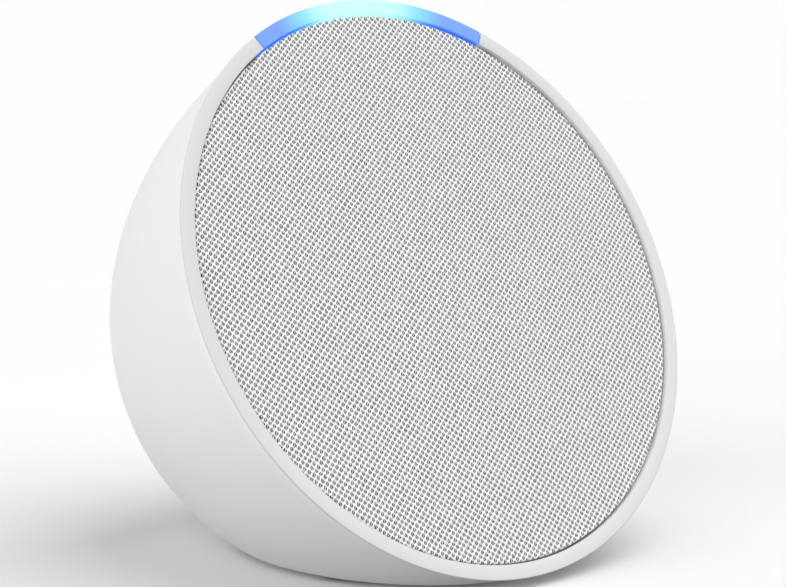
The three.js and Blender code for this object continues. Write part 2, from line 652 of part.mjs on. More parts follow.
function voiceCoil() {
  const top = CAP_EDGE + PAPER + 0.15;
  const outer = COIL_RADIUS + FORMER;
  const [start, end] = [MOTOR_DEPTH - 0.7, MOTOR_DEPTH + TOP_PLATE + 1];
  return revolve([
    [COIL_RADIUS, top], [outer, top], [outer, start], [outer + WINDING, start],
    [outer + WINDING, end], [COIL_RADIUS, end]], COARSE);
}

function spider() {
  const [first, last] = [NECK, MAGNET_RADIUS - 2.8];
  const level = BASKET_DEPTH - GAP - PAPER;
  const front = [];
  for (let i = 0; i <= 8; i += 1) {
    front.push([THREE.MathUtils.lerp(first, last, i / 8), level - 0.45 * Math.sin(i * Math.PI / 2)]);
  }
  front.push([MAGNET_RADIUS - 0.8, level]);
  const back = front.map(([radius, depth]) => [radius, depth + PAPER]).reverse();
  return revolve([...front, ...back], COARSE);
}

const topPlate = () => ring(
  COIL_RADIUS + FORMER + WINDING + 0.35, MAGNET_RADIUS - 1.5, MOTOR_DEPTH, MOTOR_DEPTH + TOP_PLATE);
const MAGNET_FRONT = MOTOR_DEPTH + TOP_PLATE + GAP;
const magnet = () => ring(COIL_RADIUS + 2.5, MAGNET_RADIUS, MAGNET_FRONT, MAGNET_FRONT + MAGNET);

function yoke() {
  const seat = MAGNET_FRONT + MAGNET + GAP;
  const pole = COIL_RADIUS - 0.4;
  return revolve([
    [0, MOTOR_DEPTH], [pole, MOTOR_DEPTH], [pole, seat], [MAGNET_RADIUS - 1.5, seat],
    [MAGNET_RADIUS - 1.5, seat + YOKE], [0, seat + YOKE]], COARSE);
}

const TAB_PLACE = MAGNET_RADIUS + 0.4 + 1.2 * GAP;
const TAB = [1.2, 8, 4];
const TAB_FRONT = BASKET_DEPTH + GAP;
const terminalTab = () => block(
  [TAB_PLACE, TAB_PLACE + TAB[0]], [-TAB[1] / 2, TAB[1] / 2], depths(TAB_FRONT, TAB_FRONT + TAB[2]));

// ---- Main board and wiring ----

function mainBoard() {
  const shape = new THREE.Shape();
  const corner = Math.asin(BOARD_FLAT / BOARD_RADIUS);
  shape.absarc(0, 0, BOARD_RADIUS, -corner, Math.PI + corner, false);
  shape.closePath();
  LEG_ANGLES.map((angle) => corners(...onRing(LEG_RING, angle), SCREW_HOLE, 12))
    .forEach((hole) => shape.holes.push(new THREE.Path(hole)));
  return plate(shape, BOARD_DEPTH, BOARD_BACK);
}

const onBoardBack = (x, y, front, height) => block(x, y, depths(front, front + height));
const CAN_HEIGHT = 2.4;
const shieldCan = () => onBoardBack([-18, 2], [0, 16], BOARD_BACK + GAP, CAN_HEIGHT);
const POWER_PADS = [-13, -15];
const LEAD_STEP = 0.4; // half the distance across between the power leads' pads
const RIBBON = [6, 0.35];
const RIBBON_SOCKET = [11, 25.5, 2]; // x, y, height
const ribbonSocket = () => onBoardBack(
  [RIBBON_SOCKET[0] - 4.5, RIBBON_SOCKET[0] + 4.5], [RIBBON_SOCKET[1] - 1.8, RIBBON_SOCKET[1] + 1.8],
  BOARD_DEPTH - GAP - RIBBON_SOCKET[2], RIBBON_SOCKET[2]);

// A lead or ribbon of one section along a smooth route of [x, y, depth] points in the face's frame.
function along(section, route, steps = 10) {
  const points = route.map(([x, y, depth]) => new THREE.Vector3(x, y, -depth));
  const extrudePath = new THREE.CatmullRomCurve3(points);
  return new THREE.ExtrudeGeometry(section, { steps, bevelEnabled: false, extrudePath });
}

function lead(radius, route) {
  return along(new THREE.Shape(corners(0, 0, radius, 8)), route);
}

function speakerLead(side) {
  const start = BAFFLE_FRONT + TAB_FRONT + TAB[2] / 2;
  const x = TAB_PLACE + TAB[0] + GAP;
  return lead(0.5, [
    [x, side * 1.8, start], [x + 4, side * 1.8, start + 2], [x + 7, side * 2, start + 9],
    [x + 6, side * 2, BOARD_DEPTH - 6], [x + 5.6, side * 2, BOARD_DEPTH - GAP - 0.1]]);
}

function powerLead(side) {
  const front = JACK_REAR - PCB - 2 * GAP;
  const start = new THREE.Vector3(-4, front, JACK_HEIGHT + side).applyMatrix4(toFace);
  const [x, y] = [POWER_PADS[0] + side * LEAD_STEP, POWER_PADS[1] + side];
  return lead(0.5, [
    [start.x, start.y, -start.z], [start.x - 2, start.y - 1.5, -start.z - 2],
    [x + 2.5, y, BOARD_BACK + 6], [x, y, BOARD_BACK + 3], [x, y, BOARD_BACK + GAP + 0.1]]);
}

function buttonRibbon() {
  const [width, thickness] = RIBBON.map((size) => size / 2);
  const section = new THREE.Shape([
    new THREE.Vector2(-width, -thickness), new THREE.Vector2(width, -thickness),
    new THREE.Vector2(width, thickness), new THREE.Vector2(-width, thickness)]);
  const start = new THREE.Vector3(RIBBON_SOCKET[0], 0, -CONTROL_BOTTOM - 2 * GAP);
  start.applyMatrix4(controls.matrix);
  const [x, y, height] = RIBBON_SOCKET;
  const socketEnd = BOARD_DEPTH - 2 * GAP - height;
  return along(section, [
    [x, start.y, -start.z], [x, start.y - 1.6, -start.z + 5], [x, y + 2.5, socketEnd - 6],
    [x, y, socketEnd - 1.5], [x, y, socketEnd - 0.05]]);
}

// ---- Putting it together ----

add(face, 'rear_housing', rearHousing(), SHELL_WHITE);
add(face, 'front_bezel', frontBezel(), RIM_WHITE);
add(face, 'light_bar', lightBar(), LIGHT_BLUE);
add(face, 'fabric_cover', fabricCover(), FABRIC_WHITE);
add(face, 'grille_frame', grilleFrame(), INNER_BLACK);
add(speaker, 'foot_pad', footPad(), RUBBER_GREY);

BUTTON_NAMES.forEach((name, i) => {
  const x = BUTTON_PLACES[i];
  add(controls, `${name}_button`, button(x), SHELL_WHITE);
  add(controls, `${name}_switch`, switchBody(x), CHIP_BLACK);
  add(controls, `${name}_plunger`, rod(x, 0, PLUNGER, PLUNGER_TOP, PLUNGER_END), LED_WHITE);
});
MIC_NAMES.forEach((name, i) => {
  const x = MIC_PLACES[i];
  const levels = depths(CONTROL_TOP - GAP - MIC_HEIGHT, CONTROL_TOP - GAP);
  add(controls, name, block([x - 1.3, x + 1.3], [-1.8, 1.8], levels), STEEL);
  add(controls, `${name}_gasket`, micGasket(x), FOAM_BLACK);
});
add(controls, 'control_board', controlBoard(), PCB_GREEN);
CONTROL_SCREW_PLACES.forEach((x, i) => {
  const seat = CONTROL_BOTTOM + GAP;
  const length = seat - CONTROL_SCREW_END;
  addScrew(controls, `control_screw_${i + 1}`, [x, 0], seat, length, true, CONTROL_SCREW);
});

add(face, 'light_board', lightBoard(), PCB_GREEN);
LED_ANGLES.forEach((degrees, i) => {
  const chip = add(face, `led_${i + 1}`, new THREE.BoxGeometry(1.8, 1.2, LED_BACK - LED_FRONT), LED_WHITE);
  const [x, y] = onRing(LED_RADIUS, fromTwelve(degrees));
  chip.position.set(x, y, -(LED_FRONT + LED_BACK) / 2);
  chip.rotation.z = -THREE.MathUtils.degToRad(degrees);
});

add(face, 'driver_baffle', driverBaffle(), INNER_BLACK);
POST_ANGLES.forEach((angle, i) => {
  addScrew(face, `baffle_screw_${i + 1}`, onRing(POST_RING, angle), BAFFLE_FRONT - GAP, 7);
});

add(driver, 'driver_basket', driverBasket(), INNER_BLACK);
add(driver, 'driver_gasket', driverGasket(), FOAM_BLACK);
add(driver, 'surround', surround(), CONE_BLACK);
add(driver, 'cone', cone(), CONE_BLACK);
add(driver, 'dust_cap', dustCap(), CONE_BLACK);
add(driver, 'voice_coil', voiceCoil(), COPPER);
add(driver, 'spider', spider(), SPIDER_TAN);
add(driver, 'top_plate', topPlate(), STEEL);
add(driver, 'magnet', magnet(), FERRITE);
add(driver, 'yoke', yoke(), STEEL);
add(driver, 'terminal_tab', terminalTab(), CHIP_BLACK);
EAR_ANGLES.forEach((angle, i) => {
  addScrew(driver, `driver_screw_${i + 1}`, onRing(DRIVER_SCREW_RING, angle), FLANGE_FRONT - GAP, 6);
});

add(face, 'main_board', mainBoard(), PCB_GREEN);
add(face, 'shield_can', shieldCan(), STEEL);
add(face, 'ribbon_socket', ribbonSocket(), CHIP_BLACK);
LEG_ANGLES.forEach((angle, i) => {
  addScrew(face, `board_screw_${i + 1}`, onRing(LEG_RING, angle), BOARD_BACK + GAP, 6, true);
});
add(face, 'speaker_lead_red', speakerLead(1), CABLE_RED);
add(face, 'speaker_lead_black', speakerLead(-1), CABLE_BLACK);
add(face, 'power_lead_red', powerLead(1), CABLE_RED);
add(face, 'power_lead_black', powerLead(-1), CABLE_BLACK);
add(face, 'button_ribbon', buttonRibbon(), RIBBON_TAN);

add(speaker, 'power_jack', jackShell(), CHIP_BLACK);
add(speaker, 'power_jack_pin', jackPin(), STEEL);
add(speaker, 'jack_board', jackBoard(), PCB_GREEN);

export default speaker;
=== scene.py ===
"""A small domed smart speaker: shell, rim, light bar, face cloth, buttons, foot and power inlet,
with its driver, boards and wiring inside. Lengths are millimetres until a piece is settled."""

import json
import math

import bpy
from mathutils import Matrix, Vector


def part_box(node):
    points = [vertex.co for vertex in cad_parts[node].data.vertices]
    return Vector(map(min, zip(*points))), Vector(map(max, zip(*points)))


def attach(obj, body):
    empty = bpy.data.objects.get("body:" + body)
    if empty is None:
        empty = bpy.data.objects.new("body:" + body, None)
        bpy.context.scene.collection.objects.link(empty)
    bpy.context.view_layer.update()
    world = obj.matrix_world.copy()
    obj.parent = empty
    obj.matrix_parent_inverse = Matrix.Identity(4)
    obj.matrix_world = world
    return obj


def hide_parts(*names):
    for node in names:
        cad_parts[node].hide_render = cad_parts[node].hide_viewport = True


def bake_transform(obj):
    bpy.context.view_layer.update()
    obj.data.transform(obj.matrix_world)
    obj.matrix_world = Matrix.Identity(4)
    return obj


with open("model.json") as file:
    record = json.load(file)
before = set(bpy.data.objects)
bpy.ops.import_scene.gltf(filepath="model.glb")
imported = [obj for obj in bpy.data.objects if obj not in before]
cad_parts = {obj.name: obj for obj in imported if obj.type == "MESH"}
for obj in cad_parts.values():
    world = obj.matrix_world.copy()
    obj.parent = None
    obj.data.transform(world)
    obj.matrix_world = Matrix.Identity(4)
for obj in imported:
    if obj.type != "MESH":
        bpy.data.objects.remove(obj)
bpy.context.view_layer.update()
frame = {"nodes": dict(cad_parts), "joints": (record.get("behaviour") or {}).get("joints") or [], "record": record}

# ---- Sizes ----

MM = 0.001
TURN = 2 * math.pi

RIM_RADIUS = 49.5
RECESS_RADIUS = 47.05
RIM_THICKNESS = 1.0
RIM_ROUNDING = 0.15
RIM_EDGE = 0.35  # thickness of the rim's edge, before its undercut
RIM_UNDERCUT = 0.55
EDGE = 0.12  # small rounding on moulded edges
DOME_RADIUS = 48.77
DOME_DEPTH = 61.65
DOME_SQUARENESS = 2.58
DOME_FRONT = 1.4
DOME_STEP = 5.5
LIP_BORE = 48.02
WALL = 2.2
GAP = 0.3
SPIGOT_RADIUS = 47.72
SPIGOT_INNER = 46.42
SPIGOT_END = 5.2
LEDGE_FRONT = 2.9
LEDGE_BACK = 4.1
LEDGE_INNER = 42.5
LIGHT_FOOT_INNER = 44.6
LIGHT_FOOT_BACK = 4.4
LIGHT_HALF_ANGLE = math.radians(29)

HOUSING_LIFT = 0.76
FLOOR_TOP = 2.56
FOOT_INSET = 2.6
FOOT_TOP = 1.26

CLOTH_RADIUS = 46.75
CLOTH_FRONT = 0.5
CLOTH_BACK = 2.6
KNIT_ACROSS = 1.30
KNIT_UP = 1.10

BAFFLE_BACK = 10.3
POST_RING = 40
POST_RADIUS = 3
POST_ANGLES = (math.pi / 3, math.pi, 5 * math.pi / 3)
SCREW_HOLE = 1.3

BUTTON_DEPTH = 17
BUTTON_RADIUS = 4.4
BUTTON_PROUD = 0.3
BUTTON_PLACES = {"volume_down": -14.5, "volume_up": 0.0, "microphone_off": 14.5}
BUTTON_FLANGE = 0.8
STEM_RADIUS = 1.5
STEM_END = 6.7
MIC_PLACES = (-7.25, 7.25)
MIC_HOLE = 0.6
SWITCH_LEVEL = 7.7
BOSS_PLACES = (-22, 22)
BOSS_RADIUS = 1.8
BOSS_END = 9.9
BOSS_HOLE = 1.0
CLEAR = 12  # well past the skin, for bars that cut through it

JACK_NOSE = 4.0
JACK_BORE = 2.9
TUNNEL_DEPTH = 5
TUNNEL_WALL = 1.3

BAFFLE_FRONT = 8.3
PAPER = 0.3
ROLL_RADIUS = 19.5
ROLL = 2.0
LIP_FRONT = -1.9  # in front of the baffle
LIP_OUTER = 23.8
LIP_INNER = 16.4
SPIDER_DEPTH = 5.3

# ---- Frames of reference ----

travel = next(joint for joint in frame["joints"] if joint["name"] == "cone_travel")
OUT = Vector(travel["axis"]).normalized()
LEAN = math.atan2(OUT.z, -OUT.y)
cloth_low, cloth_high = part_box("fabric_cover")
CENTRE = (cloth_low + cloth_high) / 2 + OUT * (CLOTH_FRONT + CLOTH_BACK) / 2 * MM
FACE = Matrix.Translation(CENTRE) @ Matrix.Rotation(math.pi / 2 - LEAN, 4, "X")


def dome_radius(depth, inset=0.0):
    """Radius of the dome at a depth behind the rim, or of its skin moved in by an inset."""
    share = min(1.0, depth / (DOME_DEPTH - inset))
    return (DOME_RADIUS - inset) * (1 - share**2) ** (1 / DOME_SQUARENESS)


def dome_outline(front, inset=0.0, steps=48):
    """The dome's outline from a depth back to its crown, as (radius, depth) points."""
    first = math.asin(front / (DOME_DEPTH - inset))
    outline = []
    for i in range(steps):
        angle = first + (math.pi / 2 - first) * i / steps
        depth = (DOME_DEPTH - inset) * math.sin(angle)
        outline.append((dome_radius(depth, inset), depth))
    return outline + [(0, DOME_DEPTH - inset)]


CROWN = dome_radius(BUTTON_DEPTH)
CROWN_SLOPE = math.atan(dome_radius(BUTTON_DEPTH - 0.5) - dome_radius(BUTTON_DEPTH + 0.5))
CONTROLS = (
    FACE
    @ Matrix.Translation(Vector((0, CROWN, -BUTTON_DEPTH)) * MM)
    @ Matrix.Rotation(-(math.pi / 2 + CROWN_SLOPE), 4, "X")
)

# ---- Modelling by hand ----


def deselect():
    """Leaves nothing selected, in object mode."""
    if bpy.context.object and bpy.context.object.mode != "OBJECT":
        bpy.ops.object.mode_set(mode="OBJECT")
    bpy.ops.object.select_all(action="DESELECT")


def pick(*pieces):
    """Selects these pieces and makes the first one active."""
    deselect()
    for piece in pieces:
        piece.select_set(True)
    bpy.context.view_layer.objects.active = pieces[0]
    return pieces[0]


def edit(piece):
    """Opens a piece in edit mode with all of it selected."""
    pick(piece)
    bpy.ops.object.mode_set(mode="EDIT")
    bpy.ops.mesh.select_all(action="SELECT")


def done():
    """Back to object mode."""
    bpy.ops.object.mode_set(mode="OBJECT")


def settle(piece, place=Matrix.Identity(4)):
    """Takes a piece drawn in millimetres to its place, in metres, with the place in its mesh."""
    piece.matrix_world = place @ Matrix.Scale(MM, 4)
    pick(piece)
    bpy.ops.object.transform_apply(location=True, rotation=True, scale=True)
    return piece


def new_piece(name):
    """Names the primitive that was just added and puts its origin at the frame's origin."""
    piece = bpy.context.object
    piece.name = name
    bpy.ops.object.transform_apply(location=True, rotation=True, scale=True)
    return piece


def turned(name, outline, place=FACE, sides=96, span=TURN):
    """An outline of (radius, depth) points turned about a place's own z axis. The outline starts
    and ends on the axis, or closes on itself. Less than a full turn is centred on the y axis."""
    deselect()
    radius, depth = outline[0]
    bpy.ops.mesh.primitive_plane_add(size=0.1, location=(radius, 0, -depth))
    piece = new_piece(name)
    edit(piece)
    bpy.ops.mesh.merge(type="CENTER")
    for (r0, d0), (r1, d1) in zip(outline, outline[1:]):
        bpy.ops.mesh.extrude_region_move(TRANSFORM_OT_translate={"value": (r1 - r0, 0, d0 - d1)})
    bpy.ops.mesh.select_all(action="SELECT")
    if span < TURN:
        bpy.ops.mesh.remove_doubles(threshold=1e-4)
        bpy.ops.mesh.edge_face_add()
    bpy.ops.mesh.spin(steps=sides, angle=span, center=(0, 0, 0), axis=(0, 0, 1))
    bpy.ops.mesh.select_all(action="SELECT")
    bpy.ops.mesh.remove_doubles(threshold=1e-4)
    bpy.ops.mesh.normals_make_consistent(inside=False)
    done()
    middle = Vector((1, 0, 0))
    if span < TURN:
        ends = [vertex.co for vertex in piece.data.vertices]
        middle = sum(ends, Vector()) / len(ends)
        middle.z = 0
    swing = math.pi / 2 - math.atan2(middle.y, middle.x) if span < TURN else 0
    return settle(piece, place @ Matrix.Rotation(swing, 4, "Z"))


def closed(outline):
    """An outline that ends where it starts."""
    return list(outline) + [outline[0]]


def rod_outline(radius, front, back, edge=0.0):
    """Outline of a round bar, with its front edge rounded off."""
    corner = [
        (radius - edge + edge * math.sin(a), front + edge - edge * math.cos(a))
        for a in (0, math.pi / 6, math.pi / 3, math.pi / 2)
    ]
    return [(0, front)] + (corner if edge else [(radius, front)]) + [(radius, back), (0, back)]


def at(place, x, y, z=0.0):
    """A place moved by millimetres along its own axes."""
    return place @ Matrix.Translation(Vector((x, y, z)) * MM)


def block(name, low, high, place=Matrix.Identity(4), edge=0.0):
    """A box between two corners with its edges bevelled."""
    deselect()
    low, high = Vector(low), Vector(high)
    bpy.ops.mesh.primitive_cube_add(size=1, location=(low + high) / 2, scale=high - low)
    piece = new_piece(name)
    if edge:
        edit(piece)
        bpy.ops.mesh.bevel(offset=edge, segments=3, affect="EDGES")
        done()
    return settle(piece, place)


def apply(piece, kind, **settings):
    """Adds a modifier and applies it."""
    modifier = piece.modifiers.new(kind.lower(), kind)
    for key, value in settings.items():
        setattr(modifier, key, value)
    pick(piece)
    bpy.ops.object.modifier_apply(modifier=modifier.name)
    return piece


def bevel_edges(piece, width, segments):
    """Rounds the sharp edges of a piece that is already in its place."""
    settings = {"limit_method": "ANGLE", "angle_limit": math.radians(50)}
    return apply(piece, "BEVEL", width=width * MM, segments=segments, **settings)


def combine(piece, operation, *tools):
    """Joins, cuts or intersects a piece with other pieces, which are used up."""
    tool = pick(*tools)
    if len(tools) > 1:
        bpy.ops.object.join()
    apply(piece, "BOOLEAN", operation=operation, object=tool, solver="MANIFOLD")
    bpy.data.objects.remove(tool)
    return piece


def slice_level(piece, height, keep_above=True):
    """Cuts a piece at a level and closes the cut."""
    edit(piece)
    bpy.ops.mesh.bisect(
        plane_co=(0, 0, height * MM),
        plane_no=(0, 0, 1),
        use_fill=True,
        clear_inner=keep_above,
        clear_outer=not keep_above,
        threshold=1e-7,
    )
    done()
    return piece


def smooth(piece, angle=32):
    """Smooth shading with the sharp edges kept."""
    pick(piece)
    bpy.ops.object.shade_smooth_by_angle(angle=math.radians(angle))
    return piece


# ---- Node maths ----


class Value:
    """A number in a material. Python's sums on it add Math nodes."""

    def __init__(self, finish, socket):
        self.finish = finish
        self.socket = socket

    def math(self, operation, *others, clamp=False):
        settings = {"operation": operation, "use_clamp": clamp}
        return self.finish.node("Math", settings, dict(enumerate((self, *others))))

    def __add__(self, other):
        return self.math("ADD", other)

    def __sub__(self, other):
        return self.math("SUBTRACT", other)

    def __rsub__(self, other):
        return self.finish.node("Math", {"operation": "SUBTRACT"}, {0: other, 1: self})

    def __mul__(self, other):
        return self.math("MULTIPLY", other)

    def __truediv__(self, other):
        return self.math("DIVIDE", other)

    def __pow__(self, other):
        return self.math("POWER", other)

    def __abs__(self):
        return self.math("ABSOLUTE")

    __radd__ = __add__
    __rmul__ = __mul__


class Finish:
    """A material built from one shader, with its patterns laid over millimetres on the piece."""

    def __init__(self, name, colour, roughness, **uniform):
        self.material = bpy.data.materials.new(name)
        self.material.use_nodes = True
        self.tree = self.material.node_tree
        self.tree.nodes.clear()
        self.shader = self.tree.nodes.new("ShaderNodeBsdfPrincipled")
        output = self.tree.nodes.new("ShaderNodeOutputMaterial")
        self.tree.links.new(self.shader.outputs[0], output.inputs["Surface"])
        self.colour = colour
        self.set(Base_Color=colour, Roughness=roughness, **uniform)
        piece_place = self.node("TexCoord", output="Object")
        self.place = self.node("Mapping", {}, {"Vector": piece_place, "Scale": (1 / MM,) * 3})

    def node(self, kind, settings=None, sockets=None, output=0):
        """A node with its settings, then its sockets, as numbers, colours or links."""
        node = self.tree.nodes.new("ShaderNode" + kind)
        for key, setting in (settings or {}).items():
            if key == "stops":
                ramp = node.color_ramp.elements
                for stop, (position, shade) in enumerate(setting):
                    element = ramp[stop] if stop < 2 else ramp.new(position)
                    element.position = position
                    element.color = (*shade, 1)
            else:
                setattr(node, key, setting)
        for key, feed in (sockets or {}).items():
            self.feed(node.inputs[key], feed)
        return Value(self, node.outputs[output])

    def feed(self, socket, feed):
        if isinstance(feed, Value):
            self.tree.links.new(feed.socket, socket)
        elif socket.type == "RGBA" and len(feed) == 3:
            socket.default_value = (*feed, 1)
        else:
            socket.default_value = feed

    def set(self, **sockets):
        """Sets or links the shader's sockets, written with underlines for spaces."""
        for key, feed in sockets.items():
            self.feed(self.shader.inputs[key.replace("_", " ")], feed)
        return self

    def parts(self, vector):
        """The three numbers of a vector."""
        outputs = self.node("SeparateXYZ", {}, {0: vector}).socket.node.outputs
        return [Value(self, part) for part in outputs]

    def noise(self, scale, detail=2.0, place=None):
        sockets = {"Vector": place or self.place, "Scale": scale, "Detail": detail}
        return self.node("TexNoise", {}, sockets)

    def grains(self, scale):
        return self.node("TexVoronoi", {}, {"Vector": self.place, "Scale": scale}, "Distance")

    def mix(self, factor, first, second):
        """Two colours mixed."""
        return self.node("Mix", {"data_type": "RGBA"}, {0: factor, 6: first, 7: second}, 2)

    def spread(self, value, low, high, to_low=0.0, to_high=1.0):
        """A number's range spread over another one, and kept inside it."""
        sockets = {0: value, 1: low, 2: high, 3: to_low, 4: to_high}
        return self.node("MapRange", {"interpolation_type": "SMOOTHSTEP"}, sockets)

    def bump(self, height, depth, strength=1.0):
        """Relief of a depth in millimetres."""
        sockets = {"Height": height, "Distance": depth * MM, "Strength": strength}
        return self.set(Normal=self.node("Bump", {}, sockets))

    def paint(self, darker, lighter, factor):
        return self.set(Base_Color=self.mix(factor, darker, lighter))


def shades(colour, spread):
    """A colour a little darker and a little lighter than the one given."""
    return [tuple(min(1.0, part * (1 + sign * spread)) for part in colour) for sign in (-1, 1)]


def grey(level):
    return (level, level, level)


# ---- Finishes ----


def moulded(name, colour, roughness, grain=3.0, relief=0.006, spread=0.012, **uniform):
    """Moulded plastic: a fine spark-eroded grain, and colour that drifts a little."""
    finish = Finish(name, colour, roughness, **uniform)
    finish.paint(*shades(colour, spread), finish.noise(0.05, 3))
    grain_height = finish.noise(grain, 3)
    finish.set(Roughness=finish.spread(grain_height, 0.3, 0.7, roughness - 0.05, roughness + 0.06))
    finish.bump(grain_height, relief)
    return finish.material


def face_place(finish):
    """Millimetres on the face: x across, y up the face, z out of it, from the rim's centre."""
    sockets = {
        "Vector": finish.node("TexCoord", output="Object"),
        "Location": CENTRE,
        "Rotation": (math.pi / 2 - LEAN, 0, 0),
        "Scale": (MM,) * 3,
    }
    return finish.node("Mapping", {"vector_type": "TEXTURE"}, sockets)


def lit_diffuser(name):
    """Frosted bar lit from behind: blue at its ends and almost white in the middle."""
    finish = Finish(name, (0.015, 0.02, 0.03), 0.35, Emission_Strength=1.0)
    place = face_place(finish)
    across, up, out = finish.parts(place)
    angle = across.math("ARCTAN2", up) / LIGHT_HALF_ANGLE
    haze = finish.noise(0.25, 2, place) - 0.5
    drift = abs(angle + 0.05) + haze * 0.06
    middle, blue = (0.52, 0.98, 0.98), (0.12, 0.30, 0.97)
    fade = [(0.40, (0.36, 0.86, 0.96)), (0.50, (0.22, 0.70, 0.96)), (0.62, (0.14, 0.50, 0.96))]
    stops = [(0.0, middle), (1.0, blue), (0.27, middle), *fade, (0.73, blue)]
    glow = finish.node("ValToRGB", {"stops": stops}, {0: drift})
    wall_foot = finish.spread(out, -0.42, -0.25, 1.0, 0.0)
    inner = 1 - finish.spread((across**2 + up**2) ** 0.5, RECESS_RADIUS, RECESS_RADIUS + 0.1)
    line = wall_foot * inner * finish.spread(abs(angle), 0.3, 0.7)
    edged = finish.mix(line * 0.85, glow, (0.01, 0.13, 1.0))
    finish.set(Emission_Color=edged)
    finish.bump(finish.noise(2.5, 2), 0.004)
    return finish.material


def knit(name):
    """White open knit: yarns along both diagonals round a lattice of holes, each hole crossed by a
    finer thread. The holes are painted shade in greys, with painted shadow as a dark crescent on the thread's left
    and a dark spot on its right."""
    finish = Finish(name, grey(0.7), 0.9)
    place = face_place(finish)
    wobble = finish.node("TexNoise", {}, {"Vector": place, "Scale": 0.8, "Detail": 1}, "Color")
    sway = finish.node("VectorMath", {"operation": "SUBTRACT"}, {0: wobble, 1: (0.5, 0.5, 0.5)})
    moved = finish.node(
        "VectorMath", {"operation": "MULTIPLY_ADD"}, {0: sway, 1: (0.35, 0.35, 0), 2: place})
    across, up, _ = finish.parts(moved)
    across, up = across / KNIT_ACROSS, up / KNIT_UP
    first, second = across + up, across - up
    first_cell, second_cell = first.math("ROUND"), second.math("ROUND")
    first_off, second_off = first - first_cell, second - second_cell
    side = (first_off + second_off) * (KNIT_ACROSS / 2)
    rise = (first_off - second_off) * (KNIT_UP / 2)
    cell = finish.node("CombineXYZ", {}, {0: first_cell, 1: second_cell})
    chances = finish.node("TexWhiteNoise", {"noise_dimensions": "2D"}, {"Vector": cell}, "Color")
    left_chance, right_chance, tilt = finish.parts(chances)
    lean = rise * (tilt * 0.4 - 0.15)
    upright = side - rise * 0.08
    reach = ((upright / 0.39) ** 2.0 + (rise / 0.44) ** 2.0) ** 0.5
    hole = 1 - finish.spread(reach, 0.62, 1.02)
    # Painted shadow: a black crescent left of the crossing thread and a black spot right of it, inside each hole.
    crescent_off = abs(upright + 0.20 - lean - rise * rise * 0.8)
    crescent = (1 - finish.spread(crescent_off, 0.06, 0.14)) * (left_chance * 0.4 + 0.8)
    spot_off = ((upright - 0.19 - lean) ** 2.0 + ((rise + 0.08) * 0.6) ** 2.0) ** 0.5
    spot = (1 - finish.spread(spot_off, 0.06, 0.15)) * (right_chance * 0.4 + 0.8)
    painted_shadow = crescent.math("MAXIMUM", spot, clamp=True)
    fibre = finish.noise(7.0, 3, place)
    ply = (first * (3 * TURN)).math("SINE") * (second * (3 * TURN)).math("SINE")
    yarn = finish.mix(fibre, grey(0.84), grey(1.0))
    # Painted shade: the holes are coloured grey to black, for the shade seen through the openings.
    shade = finish.mix(painted_shadow, finish.mix(tilt, grey(0.40), grey(0.58)), grey(0.0))
    finish.set(Base_Color=finish.mix(hole, yarn, shade))
    height = 1 - hole * (painted_shadow * 0.5 + 0.5) + ply * 0.06 + fibre * 0.12
    finish.bump(height, 0.08, 0.6)
    return finish.material


def speckled(name, colour, roughness, grain, relief, spread=0.25, **uniform):
    """Rubber, foam, paper or ferrite: a coarse grain in colour and relief."""
    finish = Finish(name, colour, roughness, **uniform)
    grains = finish.grains(grain)
    finish.paint(*shades(colour, spread), finish.spread(grains, 0.1, 0.7))
    finish.bump(grains + finish.noise(grain * 2.5, 3) * 0.5, relief)
    return finish.material


def drawn_metal(name, colour, roughness, stretch, **uniform):
    """Metal with fine marks along one direction and a mottled polish."""
    finish = Finish(name, colour, roughness, Metallic=1.0, **uniform)
    marks_place = finish.node("Mapping", {}, {"Vector": finish.place, "Scale": stretch})
    marks = finish.noise(1.0, 4, marks_place)
    stains = finish.noise(0.35, 3)
    finish.paint(*shades(colour, 0.12), stains)
    finish.set(Roughness=finish.spread(stains, 0.3, 0.7, roughness - 0.08, roughness + 0.12))
    finish.bump(marks, 0.01)
    return finish.material


def woven(name, colour, pitch):
    """Resin-dipped cloth: two sets of threads over and under."""
    finish = Finish(name, colour, 0.8)
    across, up, _ = finish.parts(face_place(finish))
    warp = (across * (TURN / pitch)).math("SINE")
    weft = (up * (TURN / pitch)).math("SINE")
    weave = warp * weft * 0.5 + 0.5
    finish.paint(*shades(colour, 0.3), weave)
    finish.bump(weave, 0.1)
    return finish.material


def circuit_board(name):
    """Solder mask over copper tracks, with bare pads here and there."""
    finish = Finish(name, (0.02, 0.14, 0.07), 0.4, Coat_Weight=0.3)
    stepped = finish.node(
        "VectorMath", {"operation": "SNAP"}, {0: finish.place, 1: (2.2, 0.45, 2.2)}
    )
    tracks = finish.spread(finish.noise(0.5, 1, stepped), 0.48, 0.52)
    mask = finish.mix(tracks, (0.012, 0.10, 0.05), (0.03, 0.22, 0.11))
    pads = 1 - finish.spread(finish.grains(0.35), 0.14, 0.17)
    finish.set(Base_Color=finish.mix(pads, mask, (0.62, 0.58, 0.46)))
    finish.bump(tracks + pads, 0.03)
    return finish.material


def insulated(name, colour):
    """Soft cable insulation, faintly ribbed by the strands in it."""
    finish = Finish(name, colour, 0.42, Coat_Weight=0.1)
    ribs = finish.node(
        "TexWave", {"bands_direction": "DIAGONAL"}, {"Vector": finish.place, "Scale": 0.9}, 1
    )
    finish.paint(*shades(colour, 0.15), finish.noise(0.6, 2))
    finish.bump(ribs + finish.noise(4.0, 2) * 0.5, 0.02)
    return finish.material


